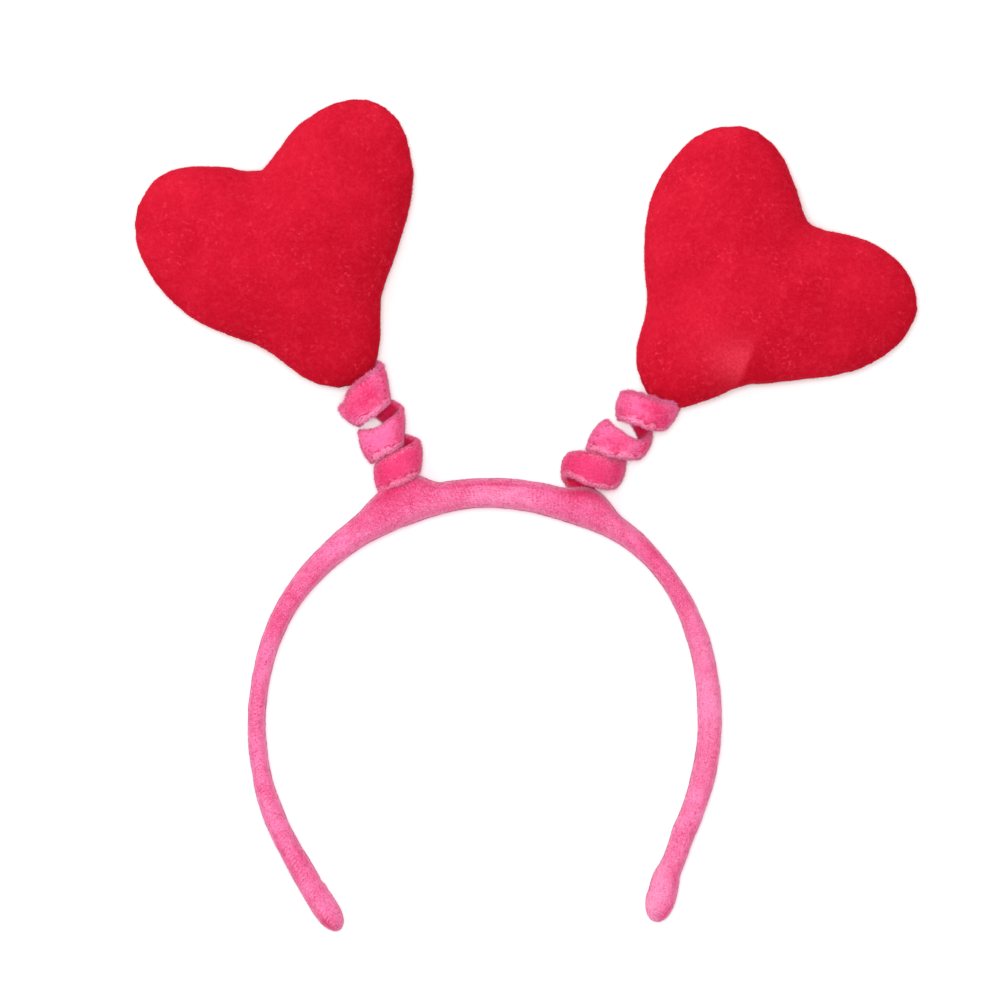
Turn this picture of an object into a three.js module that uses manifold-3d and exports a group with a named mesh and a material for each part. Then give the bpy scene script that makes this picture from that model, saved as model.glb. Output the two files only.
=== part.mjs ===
// Heart headband: a padded velour band, two velour-covered coil springs and two stuffed plush hearts.
// It lies on its side. Millimetres: X across the band, Y from the band's ends towards the hearts, +Z up,
// with the surface it lies on at Z = 0. Left and right are as seen from above, with the hearts at the top.
import * as THREE from "three";
import Module from "manifold-3d";

const wasm = await Module();
wasm.setup();

// Clear space between pieces that touch on the real object
const GAP = 0.35;

// Band: stations round the loop, from the right end to the left end.
// turn: degrees anticlockwise from +X about the loop's centre. radius: from there to the middle of the
// padding. thick: the padding, square to the loop. depth: from the edge that it lies on to the edge on top.
const BAND_STATIONS = [
  { at: "right end", turn: -46.9, radius: 76.2, thick: 8.6, depth: 10.5 },
  { at: "right end's bulb", turn: -42.9, radius: 73.0, thick: 7.9, depth: 11.0 },
  { at: "right end's neck", turn: -40.6, radius: 72.0, thick: 6.8, depth: 11.1 },
  { at: "right leg bend", turn: -30, radius: 68.7, thick: 6.7, depth: 11.5 },
  { at: "right leg", turn: 0, radius: 66.5, thick: 7.0, depth: 12.0 },
  { at: "right temple", turn: 20, radius: 66.5, thick: 6.2, depth: 12.5 },
  { at: "right narrowing", turn: 38, radius: 67.0, thick: 5.3, depth: 13.0 },
  { at: "right shoulder", turn: 52, radius: 66.7, thick: 6.8, depth: 14.0 },
  { at: "right spring", turn: 68, radius: 65.4, thick: 9.2, depth: 16.0 },
  { at: "crown", turn: 90, radius: 64.6, thick: 8.5, depth: 15.0 },
  { at: "left spring", turn: 110, radius: 64.2, thick: 9.4, depth: 16.0 },
  { at: "left shoulder", turn: 120, radius: 64.8, thick: 9.4, depth: 15.5 },
  { at: "left slope", turn: 132, radius: 65.0, thick: 7.6, depth: 14.0 },
  { at: "left temple", turn: 150, radius: 66.3, thick: 6.2, depth: 13.0 },
  { at: "left leg", turn: 180, radius: 67.6, thick: 5.0, depth: 12.0 },
  { at: "left leg bend", turn: 208, radius: 70.1, thick: 6.2, depth: 11.5 },
  { at: "left leg low", turn: 222, radius: 72.2, thick: 6.8, depth: 11.0 },
  { at: "left end", turn: 231.4, radius: 75.7, thick: 6.9, depth: 10.5 },
];
const BAND_STEP_DEGREES = 4;
const BAND_SIDES = 16;
const BAND_SQUARENESS = 2.5;
const BAND_END_LENGTH = 7.1;
const BAND_SETTLE = 0.5;

// Mounds of the band's cover that the springs grow out of. before and after: degrees to each foot.
const SPRING_MOUNDS = [
  { at: "right", turn: 63.0, rise: 3.4, before: 8.5, after: 9 },
  { at: "left", turn: 108.5, rise: 5.0, before: 8, after: 16.5 },
];

// Springs: a flat padded ribbon wound right-handed about an axis, which leaves the mound at the back, comes
// up on the left and crosses the front. turns: turns so far, from the right. across, up, height: the axis
// there, from the loop's centre and the surface. coil: axis to the middle of the ribbon. width: from the edge
// towards the band to the edge towards the heart. lean: degrees that this way tips to the right of +Y.
const SPRINGS = {
  spring_left: [
    { at: "root", turns: 0.2, across: -23.4, up: 67, height: 9, coil: 6, width: 7.6, lean: -10 },
    { at: "low left", turns: 0.5, across: -25.5, up: 71.1, height: 9, coil: 6, width: 8.8, lean: -8 },
    { at: "low front", turns: 0.75, across: -25.7, up: 72.4, height: 9.2, coil: 6, width: 9.3, lean: -15 },
    { at: "low right", turns: 1, across: -25.7, up: 73.7, height: 9.4, coil: 5.8, width: 8.6, lean: 0 },
    { at: "low back", turns: 1.25, across: -28.3, up: 78.2, height: 9.6, coil: 6, width: 6.6, lean: -15 },
    { at: "mid left", turns: 1.5, across: -30, up: 80.4, height: 9.8, coil: 5.5, width: 10, lean: -22 },
    { at: "mid front", turns: 1.75, across: -30.1, up: 80.6, height: 10, coil: 6, width: 8.6, lean: -18 },
    { at: "mid right", turns: 2, across: -31, up: 82.7, height: 10.3, coil: 5.9, width: 9.8, lean: 4 },
    { at: "mid back", turns: 2.25, across: -33.4, up: 89.6, height: 10.7, coil: 6, width: 5.5, lean: -15 },
    { at: "top left", turns: 2.5, across: -34.5, up: 89.6, height: 11, coil: 5.8, width: 8, lean: -53 },
    { at: "top slope", turns: 2.62, across: -34.5, up: 90.6, height: 11.2, coil: 6.1, width: 8.6, lean: -42 },
    { at: "top front", turns: 2.75, across: -34.9, up: 93, height: 11.4, coil: 6.2, width: 11, lean: -30 },
    { at: "top right", turns: 3, across: -35.9, up: 95.2, height: 11.8, coil: 5.9, width: 10.4, lean: -11 },
    { at: "top back", turns: 3.12, across: -37, up: 97.4, height: 12, coil: 6.1, width: 8.6, lean: -20 },
    { at: "heart end", turns: 3.32, across: -38.4, up: 101, height: 12, coil: 5.4, width: 6.6, lean: -22 },
  ],
  spring_right: [
    { at: "root", turns: 0.2, across: 28.6, up: 66, height: 9, coil: 6.2, width: 7.6, lean: 30 },
    { at: "low left", turns: 0.5, across: 28.5, up: 69, height: 9, coil: 5.5, width: 6.6, lean: 12 },
    { at: "low front", turns: 0.75, across: 32.1, up: 71.8, height: 9.2, coil: 6.5, width: 9.3, lean: 24 },
    { at: "low right", turns: 1, across: 35, up: 74.5, height: 9.4, coil: 5.7, width: 8.6, lean: 12 },
    { at: "low back", turns: 1.25, across: 36.8, up: 77, height: 9.6, coil: 6.2, width: 6, lean: 25 },
    { at: "mid left", turns: 1.5, across: 37.7, up: 77.6, height: 9.8, coil: 6, width: 10.6, lean: 34 },
    { at: "mid front", turns: 1.7, across: 39.1, up: 78.8, height: 10, coil: 6.3, width: 8.8, lean: 28 },
    { at: "mid slope", turns: 1.88, across: 40.8, up: 80.5, height: 10.1, coil: 6.2, width: 6.2, lean: 26 },
    { at: "mid right", turns: 2, across: 42.2, up: 82.2, height: 10.3, coil: 6, width: 6.2, lean: 25 },
    { at: "mid back", turns: 2.25, across: 44.8, up: 86, height: 10.7, coil: 6.3, width: 4.8, lean: 20 },
    { at: "top left", turns: 2.5, across: 45.2, up: 86.1, height: 11, coil: 6.2, width: 8.2, lean: 8 },
    { at: "top front", turns: 2.75, across: 47.6, up: 88.8, height: 11.4, coil: 6.4, width: 9.4, lean: 22 },
    { at: "top right", turns: 3, across: 50.2, up: 92, height: 11.8, coil: 6.2, width: 8.8, lean: 28 },
    { at: "heart end", turns: 3.12, across: 51.2, up: 93, height: 12, coil: 6.4, width: 8, lean: 35 },
  ],
};
const RIBBON_THICK = 3.2;
const RIBBON_SIDES = 12;
const RIBBON_SQUARENESS = 2.2;
const COIL_STEPS_PER_TURN = 20;
const RIBBON_END_LENGTH = 1.6;

// Hearts: one sewing pattern for both. turn: degrees anticlockwise from the notch about the heart's centre.
// reach: the centre to the seam.
const HEART_PATTERN = [
  { at: "notch", turn: 0, reach: 21.6 },
  { at: "left lobe start", turn: 20, reach: 29.0 },
  { at: "left lobe top", turn: 40, reach: 42.4 },
  { at: "left lobe", turn: 60, reach: 46.0 },
  { at: "left lobe end", turn: 80, reach: 42.3 },
  { at: "left flank", turn: 115, reach: 34.5 },
  { at: "left waist", turn: 139, reach: 32.4 },
  { at: "left foot", turn: 152, reach: 35.0 },
  { at: "left of the tip", turn: 166, reach: 42.9 },
  { at: "tip", turn: 180, reach: 47.4 },
  { at: "blunt of the tip", turn: 187, reach: 46.8 },
  { at: "right of the tip", turn: 195, reach: 41.9 },
  { at: "right foot", turn: 209, reach: 33.4 },
  { at: "right waist", turn: 222, reach: 30.8 },
  { at: "right flank", turn: 250, reach: 33.2 },
  { at: "right lobe end", turn: 280, reach: 43.6 },
  { at: "right lobe", turn: 299, reach: 48.4 },
  { at: "right lobe top", turn: 313, reach: 44.8 },
  { at: "right lobe side", turn: 326, reach: 36.9 },
  { at: "right lobe start", turn: 343, reach: 25.8 },
];
const HEART_THICK = 28;
const HEART_SETTLE = 1.5;
const HEART_SIDES = 60;
const HEART_PUFF = 0.52;
const HEART_CORE_RADIUS = 28;
const HEART_RINGS = [0.2, 0.4, 0.6, 0.78, 0.91, 0.975];
const NOTCH_DENT = { share: 0.35, spread: 13 };
const HEARTS = {
  heart_left: { across: -57.9, up: 139.4, tilt: 24 },
  heart_right: { across: 80.3, up: 128.0, tilt: -42 },
};

const PINK_VELOUR = { color: 0xf36a9a, roughness: 0.95, metalness: 0 };
const RED_PLUSH = { color: 0xd61830, roughness: 0.9, metalness: 0 };

const UP = new THREE.Vector3(0, 0, 1);
const radians = THREE.MathUtils.degToRad;

// A smooth curve through one column of a table, read anywhere along its key column
function smoothColumn(rows, key, column) {
  const slope = (i) => {
    const before = rows[Math.max(i - 1, 0)];
    const after = rows[Math.min(i + 1, rows.length - 1)];
    return (after[column] - before[column]) / (after[key] - before[key]);
  };
  return (place) => {
    const next = rows.findIndex((row) => row[key] > place);
    const i = next < 0 ? rows.length - 2 : Math.max(next - 1, 0);
    const span = rows[i + 1][key] - rows[i][key];
    const t = THREE.MathUtils.clamp((place - rows[i][key]) / span, 0, 1);
    const rise = rows[i + 1][column] - rows[i][column];
    const bend = t * (1 - t) * ((slope(i) * span - rise) * (1 - t) + (rise - slope(i + 1) * span) * t);
    return rows[i][column] + rise * t + bend;
  };
}

// A closed surface over rings of points, drawn together to a pole at each end.
// Each ring runs anticlockwise about the way from the first pole to the last.
function skin(firstPole, rings, lastPole) {
  const sides = rings[0].length;
  const points = [firstPole, ...rings.flat(), lastPole];
  const corner = (ring, side) => 1 + ring * sides + (side % sides);
  const faces = [];
  for (let side = 0; side < sides; side++) {
    faces.push(0, corner(0, side + 1), corner(0, side));
    for (let ring = 0; ring + 1 < rings.length; ring++) {
      faces.push(corner(ring, side), corner(ring, side + 1), corner(ring + 1, side + 1));
      faces.push(corner(ring, side), corner(ring + 1, side + 1), corner(ring + 1, side));
    }
    faces.push(points.length - 1, corner(rings.length - 1, side), corner(rings.length - 1, side + 1));
  }
  return new THREE.BufferGeometry().setFromPoints(points).setIndex(faces);
}

// A padded cross-section: a rounded oval of half sizes a along u and b along v about a centre
function paddedRing(centre, u, a, v, b, sides, squareness) {
  const soften = (x) => Math.sign(x) * Math.abs(x) ** (2 / squareness);
  return Array.from({ length: sides }, (_, side) => {
    const angle = (2 * Math.PI * (side + 0.5)) / sides;
    return centre
      .clone()
      .addScaledVector(u, a * soften(Math.cos(angle)))
      .addScaledVector(v, b * soften(Math.sin(angle)));
  });
}

// How much of its full section a rounded end keeps, at shares of the end's length
const ROUND_END = [0.4, 0.7, 0.9].map((share) => ({ share, keeps: Math.sqrt(1 - share * share) }));

// Rise of the cover over the plain band at a turn
function moundRise(turn) {
  return SPRING_MOUNDS.reduce((rise, mound) => {
    const foot = turn < mound.turn ? mound.before : mound.after;
    const share = Math.min(Math.abs(turn - mound.turn) / foot, 1);
    return rise + mound.rise * Math.cos((share * Math.PI) / 2) ** 2;
  }, 0);
}

// The band with its two mounds, grown all over by grow
function bandGeometry(grow = 0) {
  const radius = smoothColumn(BAND_STATIONS, "turn", "radius");
  const thick = smoothColumn(BAND_STATIONS, "turn", "thick");
  const depth = smoothColumn(BAND_STATIONS, "turn", "depth");
  const middle = (turn) =>
    new THREE.Vector3(Math.cos(radians(turn)), Math.sin(radians(turn)), 0).multiplyScalar(radius(turn));
  const first = BAND_STATIONS[0].turn;
  const last = BAND_STATIONS.at(-1).turn;
  const near = 0.5;
  const ringAt = (turn, keeps, beyond) => {
    const within = THREE.MathUtils.clamp(turn, first + near, last - near);
    const along = middle(within + near).sub(middle(within - near)).normalize();
    const outward = along.clone().cross(UP);
    const rise = moundRise(turn);
    const centre = middle(turn)
      .addScaledVector(outward, rise / 2)
      .addScaledVector(along, beyond);
    centre.z = depth(turn) / 2 - BAND_SETTLE;
    const halfThick = (thick(turn) + rise) / 2 + grow;
    const halfDepth = depth(turn) / 2 + grow;
    const down = UP.clone().negate();
    const ring = paddedRing(
      centre, outward, halfThick * keeps, down, halfDepth * keeps, BAND_SIDES, BAND_SQUARENESS);
    ring.forEach((point) => (point.z = Math.max(point.z, 0)));
    return { centre, ring };
  };
  const steps = Math.round((last - first) / BAND_STEP_DEGREES);
  const end = BAND_END_LENGTH + grow;
  const rings = [
    ...ROUND_END.toReversed().map(({ share, keeps }) => ringAt(first, keeps, -share * end).ring),
    ...Array.from({ length: steps + 1 }, (_, i) => ringAt(first + ((last - first) * i) / steps, 1, 0).ring),
    ...ROUND_END.map(({ share, keeps }) => ringAt(last, keeps, share * end).ring),
  ];
  return skin(ringAt(first, 0, -end).centre, rings, ringAt(last, 0, end).centre);
}

// One spring's ribbon, from inside its mound to its heart
function springGeometry(rows) {
  const across = smoothColumn(rows, "turns", "across");
  const up = smoothColumn(rows, "turns", "up");
  const height = smoothColumn(rows, "turns", "height");
  const coil = smoothColumn(rows, "turns", "coil");
  const width = smoothColumn(rows, "turns", "width");
  const lean = smoothColumn(rows, "turns", "lean");
  const axis = (turns) => new THREE.Vector3(across(turns), up(turns), height(turns));
  const small = 0.01;
  const way = axis(rows.at(-1).turns).sub(axis(rows[0].turns)).normalize();
  const right = way.clone().cross(UP).normalize();
  const front = right.clone().cross(way);
  const path = (turns) => {
    const angle = 2 * Math.PI * turns;
    return axis(turns)
      .addScaledVector(right, coil(turns) * Math.cos(angle))
      .addScaledVector(front, -coil(turns) * Math.sin(angle));
  };
  const ringAt = (turns, keeps, beyond) => {
    const along = path(turns + small).sub(path(turns - small)).normalize();
    const tip = radians(lean(turns));
    const bandward = new THREE.Vector3(-Math.sin(tip), -Math.cos(tip), -way.z);
    bandward.addScaledVector(along, -bandward.dot(along)).normalize();
    const outward = bandward.clone().cross(along);
    const centre = path(turns).addScaledVector(along, beyond);
    const ring = paddedRing(
      centre, outward, (RIBBON_THICK / 2) * keeps, bandward, (width(turns) / 2) * keeps, RIBBON_SIDES,
      RIBBON_SQUARENESS);
    return { centre, ring };
  };
  const first = rows[0].turns + small;
  const last = rows.at(-1).turns - small;
  const steps = Math.round((last - first) * COIL_STEPS_PER_TURN);
  const end = RIBBON_END_LENGTH;
  const rings = [
    ...ROUND_END.toReversed().map(({ share, keeps }) => ringAt(first, keeps, -share * end).ring),
    ...Array.from({ length: steps + 1 }, (_, i) => ringAt(first + ((last - first) * i) / steps, 1, 0).ring),
    ...ROUND_END.map(({ share, keeps }) => ringAt(last, keeps, share * end).ring),
  ];
  return skin(ringAt(first, 0, -end).centre, rings, ringAt(last, 0, end).centre);
}

// A stuffed heart about its own centre, notch towards +Y, flattened a little where it lies.
// Its rings pass from the sewing pattern at the seam to a round crown in the middle.
function heartGeometry(grow = 0) {
  const lap = (shift) => HEART_PATTERN.map((row) => ({ ...row, turn: row.turn + shift }));
  const reach = smoothColumn([...lap(-360), ...lap(0), ...lap(360)], "turn", "reach");
  const seamHeight = HEART_THICK / 2 - HEART_SETTLE;
  const notch = new THREE.Vector2(0, HEART_PATTERN[0].reach);
  const ringAt = (share, face) =>
    Array.from({ length: HEART_SIDES }, (_, side) => {
      const turn = (360 * side) / HEART_SIDES;
      const pattern = share * share;
      const distance = share * THREE.MathUtils.lerp(HEART_CORE_RADIUS, reach(turn) + grow, pattern);
      const x = -distance * Math.sin(radians(turn));
      const y = distance * Math.cos(radians(turn));
      const nearNotch = Math.exp(-((notch.distanceTo(new THREE.Vector2(x, y)) / NOTCH_DENT.spread) ** 2));
      const puff = (1 - share * share) ** HEART_PUFF * (1 - NOTCH_DENT.share * nearNotch);
      return new THREE.Vector3(x, y, Math.max(seamHeight + face * (HEART_THICK / 2 + grow) * puff, 0));
    });
  const rings = [
    ...HEART_RINGS.map((share) => ringAt(share, -1)),
    ringAt(1, 0),
    ...HEART_RINGS.toReversed().map((share) => ringAt(share, 1)),
  ];
  const crown = new THREE.Vector3(0, 0, seamHeight + HEART_THICK / 2 + grow);
  return skin(new THREE.Vector3(0, 0, 0), rings, crown);
}

// A heart's place in the assembly
function heartPlace({ across, up, tilt }) {
  return new THREE.Matrix4().makeRotationZ(radians(tilt)).setPosition(across, up, 0);
}

function toSolid(geometry) {
  const vertProperties = geometry.getAttribute("position").array;
  const triVerts = new Uint32Array(geometry.index.array);
  return new wasm.Manifold(new wasm.Mesh({ numProp: 3, vertProperties, triVerts }));
}

// The largest body that is left of a piece once its neighbours are cut from it
function cutClear(geometry, neighbours) {
  const left = neighbours.reduce((solid, neighbour) => solid.subtract(toSolid(neighbour)), toSolid(geometry));
  const largest = left.decompose().reduce((a, b) => (a.volume() > b.volume() ? a : b));
  const { vertProperties, triVerts } = largest.getMesh();
  return new THREE.BufferGeometry()
    .setAttribute("position", new THREE.BufferAttribute(vertProperties, 3))
    .setIndex(new THREE.BufferAttribute(triVerts, 1));
}

const assembly = new THREE.Group();
function addPiece(name, geometry, finish) {
  geometry.computeVertexNormals();
  const mesh = new THREE.Mesh(geometry, new THREE.MeshStandardMaterial(finish));
  mesh.name = name;
  assembly.add(mesh);
  return mesh;
}

addPiece("band", bandGeometry(), PINK_VELOUR);
for (const side of ["left", "right"]) {
  const place = HEARTS[`heart_${side}`];
  const neighbours = [bandGeometry(GAP), heartGeometry(GAP).applyMatrix4(heartPlace(place))];
  addPiece(`spring_${side}`, cutClear(springGeometry(SPRINGS[`spring_${side}`]), neighbours), PINK_VELOUR);
  const heart = addPiece(`heart_${side}`, heartGeometry(), RED_PLUSH);
  heart.position.set(place.across, place.up, 0);
  heart.rotation.z = radians(place.tilt);
}

// The origin is on the surface, under the middle of the whole headband
const middle = new THREE.Box3().setFromObject(assembly, true).getCenter(new THREE.Vector3());
assembly.position.set(-middle.x, -middle.y, 0);

const headband = new THREE.Group();
headband.add(assembly);
export default headband;
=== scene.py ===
# Looks of the heart headband: pink velour on the band and its springs, red plush on two stuffed hearts
import math

import bmesh
import bpy
import numpy as np
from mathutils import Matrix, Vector, noise


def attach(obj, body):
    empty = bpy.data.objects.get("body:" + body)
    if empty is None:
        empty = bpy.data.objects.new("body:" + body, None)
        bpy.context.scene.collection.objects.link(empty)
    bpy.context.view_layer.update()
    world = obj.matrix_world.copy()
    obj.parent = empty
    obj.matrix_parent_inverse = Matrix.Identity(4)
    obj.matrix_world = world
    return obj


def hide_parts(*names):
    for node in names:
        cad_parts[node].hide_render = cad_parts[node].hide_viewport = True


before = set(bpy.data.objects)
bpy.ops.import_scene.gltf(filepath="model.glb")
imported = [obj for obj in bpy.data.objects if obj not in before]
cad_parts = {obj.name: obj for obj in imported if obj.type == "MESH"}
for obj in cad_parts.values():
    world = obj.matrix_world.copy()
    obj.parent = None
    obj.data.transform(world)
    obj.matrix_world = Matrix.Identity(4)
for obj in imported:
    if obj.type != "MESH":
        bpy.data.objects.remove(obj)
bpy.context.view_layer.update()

# The tables below are in millimetres about the middle of the band's loop, and the frame is in metres
MM = 0.001
LOOP_CENTRE = np.array((-12.001, -57.726, 0.0))
UP = np.array((0.0, 0.0, 1.0))

# Band: turn is in degrees anticlockwise from +X, radius reaches the middle of the padding
BAND_STATIONS = [
    dict(turn=-46.9, radius=76.2, thick=8.6, depth=10.5),
    dict(turn=-42.9, radius=73.0, thick=7.9, depth=11.0),
    dict(turn=-40.6, radius=72.0, thick=6.8, depth=11.1),
    dict(turn=-30.0, radius=68.7, thick=6.7, depth=11.5),
    dict(turn=0.0, radius=66.5, thick=7.0, depth=12.0),
    dict(turn=20.0, radius=66.5, thick=6.2, depth=12.5),
    dict(turn=38.0, radius=67.0, thick=5.3, depth=13.0),
    dict(turn=52.0, radius=66.7, thick=6.8, depth=14.0),
    dict(turn=68.0, radius=65.4, thick=9.2, depth=16.0),
    dict(turn=90.0, radius=64.6, thick=8.5, depth=15.0),
    dict(turn=110.0, radius=64.2, thick=9.4, depth=16.0),
    dict(turn=120.0, radius=64.8, thick=9.4, depth=15.5),
    dict(turn=132.0, radius=65.0, thick=7.6, depth=14.0),
    dict(turn=150.0, radius=66.3, thick=6.2, depth=13.0),
    dict(turn=180.0, radius=67.6, thick=5.0, depth=12.0),
    dict(turn=208.0, radius=70.1, thick=6.2, depth=11.5),
    dict(turn=222.0, radius=72.2, thick=6.8, depth=11.0),
    dict(turn=231.4, radius=75.7, thick=6.9, depth=10.5),
]
BAND_SQUARENESS = 3.0
BAND_END_LENGTH = 7.1
BAND_END_STEPS = 12
BAND_SETTLE = 0.5
BAND_STEPS = 540
BAND_SIDES = 48
BAND_SPACE_STEPS = 160
BAND_SPACE_SIDES = 32
CROWN_TURN = 90.0
DEGREES_PER_MM = 0.8
SECTION_RADIUS = 5.0

# Lumps of the padding: how high, how wide, and where in the noise
BAND_LUMPS = [
    dict(height=0.22, grain=9.0, seed=1.0),
    dict(height=0.14, grain=4.0, seed=2.0),
    dict(height=0.10, grain=1.6, seed=3.0),
]

# Creases and folds of the band's cover, with the turn and the angle round the section that each one lies at
CROWN_CREASE = dict(turn=89.0, over=11.0, angle=1.05, round=0.16, depth=0.35)
LEFT_END_FOLD = dict(turn=225.9, sharpness=0.25, rise=0.55, round=0.9)
LEFT_END_GROOVE = dict(turn=225.0, over=0.8, depth=0.25)

# Short ribs of the weave, which show along the left leg and faintly over the crown
RIB_PITCH = 1.1
RIBBED_LEG = dict(angle=1.45, round=0.19, starts=165.0, full_after=15.0)
LINED_CROWN = dict(turn=88.0, over=22.0)
RIB_SLANT = 0.35

# The band's fringe grows where its cover turns down, past this cosine of the angle round the section
FRINGE_STARTS = 0.75

# Where the band's velour is deeper or paler, with painted shadow on the mounds under the springs and painted
# shade in the crease along the crown: the turn and the angle round the section, with their spreads
BAND_TONES_AND_SHADE = [
    # Painted shadow of the left spring on its mound
    dict(at="left mound", turn=113.0, over=8.0, angle=1.0, round=0.7, tone_and_shade=-1.0),
    dict(at="under the left mound", turn=108.0, over=10.0, angle=2.1, round=0.6, tone_and_shade=0.4),
    # Painted shadow of the right spring on its mound
    dict(at="right mound", turn=66.0, over=6.0, angle=0.9, round=0.6, tone_and_shade=-1.0),
    dict(at="right of the right mound", turn=55.0, over=4.0, angle=1.7, round=0.8, tone_and_shade=0.4),
    dict(at="right shoulder", turn=44.0, over=6.0, angle=1.2, round=0.7, tone_and_shade=-0.5),
    dict(at="crown", turn=86.0, over=10.0, angle=1.8, round=0.5, tone_and_shade=0.6),
    # Painted shade in the crease along the crown
    dict(at="crease along the crown", turn=88.0, over=13.0, angle=1.05, round=0.1, tone_and_shade=-0.8),
    dict(at="left end, outer side", turn=234.5, over=3.5, angle=0.9, round=0.8, tone_and_shade=-0.9),
    dict(at="left leg", turn=190.0, over=25.0, angle=1.6, round=1.5, tone_and_shade=-0.12),
    dict(at="right leg", turn=0.0, over=28.0, angle=1.7, round=1.2, tone_and_shade=0.45),
    dict(at="right end", turn=-48.0, over=9.0, angle=2.2, round=0.9, tone_and_shade=1.0),
    dict(at="right end, outer side", turn=-50.0, over=5.0, angle=0.9, round=0.6, tone_and_shade=-0.7),
]

# Mounds of the band's cover that the springs grow out of, with the degrees to each foot
SPRING_MOUNDS = [
    dict(turn=63.0, rise=2.9, before=9.5, after=9.0),
    dict(turn=108.5, rise=5.0, before=8.0, after=16.5),
]

# Springs: turns so far, the coil's axis there, its radius, the ribbon's width and the lean of its width
SPRINGS = {
    "spring_left": [
        dict(turns=0.2, across=-23.4, up=67.0, height=9.0, coil=6.0, width=7.6, lean=-10),
        dict(turns=0.5, across=-25.5, up=71.1, height=9.0, coil=6.0, width=8.8, lean=-8),
        dict(turns=0.75, across=-25.7, up=72.4, height=9.2, coil=6.0, width=9.3, lean=-15),
        dict(turns=1, across=-25.7, up=73.7, height=9.4, coil=5.8, width=8.6, lean=0),
        dict(turns=1.25, across=-28.3, up=78.2, height=9.6, coil=6.0, width=6.6, lean=-15),
        dict(turns=1.5, across=-30.0, up=80.4, height=9.8, coil=5.5, width=10.0, lean=-22),
        dict(turns=1.75, across=-30.1, up=80.6, height=10.0, coil=6.0, width=8.6, lean=-18),
        dict(turns=2, across=-31.0, up=82.7, height=10.3, coil=5.9, width=9.8, lean=4),
        dict(turns=2.25, across=-33.4, up=89.6, height=10.7, coil=6.0, width=5.5, lean=-15),
        dict(turns=2.5, across=-34.5, up=89.6, height=11.0, coil=5.8, width=8.0, lean=-53),
        dict(turns=2.62, across=-34.5, up=90.6, height=11.2, coil=6.1, width=8.6, lean=-42),
        dict(turns=2.75, across=-34.9, up=93.0, height=11.4, coil=6.2, width=11.0, lean=-30),
        dict(turns=3, across=-35.9, up=95.2, height=11.8, coil=5.9, width=10.4, lean=-11),
        dict(turns=3.12, across=-37.0, up=97.4, height=12.0, coil=6.1, width=8.6, lean=-20),
        dict(turns=3.32, across=-38.4, up=101.0, height=12.0, coil=5.4, width=6.6, lean=-22),
    ],
    "spring_right": [
        dict(turns=0.2, across=28.6, up=66.0, height=9.0, coil=6.2, width=7.6, lean=30),
        dict(turns=0.5, across=28.5, up=69.0, height=9.0, coil=5.5, width=6.6, lean=12),
        dict(turns=0.75, across=32.1, up=71.8, height=9.2, coil=6.5, width=9.3, lean=24),
        dict(turns=1, across=35.0, up=74.5, height=9.4, coil=5.7, width=8.6, lean=12),
        dict(turns=1.25, across=36.8, up=77.0, height=9.6, coil=6.2, width=6.0, lean=25),
        dict(turns=1.5, across=37.7, up=77.6, height=9.8, coil=6.0, width=10.6, lean=34),
        dict(turns=1.7, across=39.1, up=78.8, height=10.0, coil=6.3, width=8.8, lean=28),
        dict(turns=1.88, across=40.8, up=80.5, height=10.1, coil=6.2, width=6.2, lean=26),
        dict(turns=2, across=42.2, up=82.2, height=10.3, coil=6.0, width=6.2, lean=25),
        dict(turns=2.25, across=44.8, up=86.0, height=10.7, coil=6.3, width=4.8, lean=20),
        dict(turns=2.5, across=45.2, up=86.1, height=11.0, coil=6.2, width=8.2, lean=8),
        dict(turns=2.75, across=47.6, up=88.8, height=11.4, coil=6.4, width=9.4, lean=22),
        dict(turns=3, across=50.2, up=92.0, height=11.8, coil=6.2, width=8.8, lean=28),
        dict(turns=3.12, across=51.2, up=93.0, height=12.0, coil=6.4, width=8.0, lean=35),
    ],
}

# Ribbons: their section, lumps and frayed edges, and the hem and fold along the edge towards the band
RIBBON_THICK = 3.4
RIBBON_SQUARENESS = 2.05
RIBBON_END_LENGTH = 1.6
RIBBON_END_STEPS = 5
RIBBON_STEPS_PER_TURN = 80
RIBBON_SIDES = 48
RIBBON_CLEARANCE = 0.25
RIBBON_LUMPS = [
    dict(height=0.25, grain=4.0, seed=5.0),
    dict(height=0.14, grain=1.2, seed=6.0),
]
RIBBON_FRAYS = [
    dict(height=0.30, grain=1.0, seed=8.0),
    dict(height=0.35, grain=3.5, seed=8.5),
]
RIBBON_HEM = dict(rise=0.9, width=0.6, height=0.12)
RIBBON_FOLD = dict(rise=2.0, width=0.4, depth=0.16)
HEM_WANDERS = dict(height=1.0, grain=3.5, seed=4.0)
FOLD_BREAKS = dict(height=1.8, grain=2.5, seed=9.0)
FOLD_SHOWS = 0.4
# The coil's low turn, which is painted deeper as shade
SHADED_LOW_TURN = dict(turns=0.72, over=0.42)

# Where a ribbon is fringed, in shares of its half width, and where its inner face, painted in shade, begins,
# of its half thickness
FRINGED_PAST = 0.9
TOP_FRINGED_PAST = 0.8
TOP_FRINGE_TURNS = 0.75
INNER_PAST = 0.3
INNER_SHARPNESS = 2.5

# Hearts: each one's middle and tilt, and the height of the seam between its two halves
HEARTS = {
    "heart_left": dict(across=-57.9, up=139.4, tilt=24.0),
    "heart_right": dict(across=80.3, up=128.0, tilt=-42.0),
}
SEAM_HEIGHT = 12.5
SEAM_GROOVE = dict(depth=0.35, width=0.8)
SEAM_PUCKERS = dict(depth=0.5, reach=5.0, grain=5.0, round_seam=40.0)
HEART_FILLS_OUT = 0.9
HEART_LUMPS = dict(height=0.35, grain=16.0)
TIP_STARTS = 18.0
TIP_LENGTH = 24.0

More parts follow.
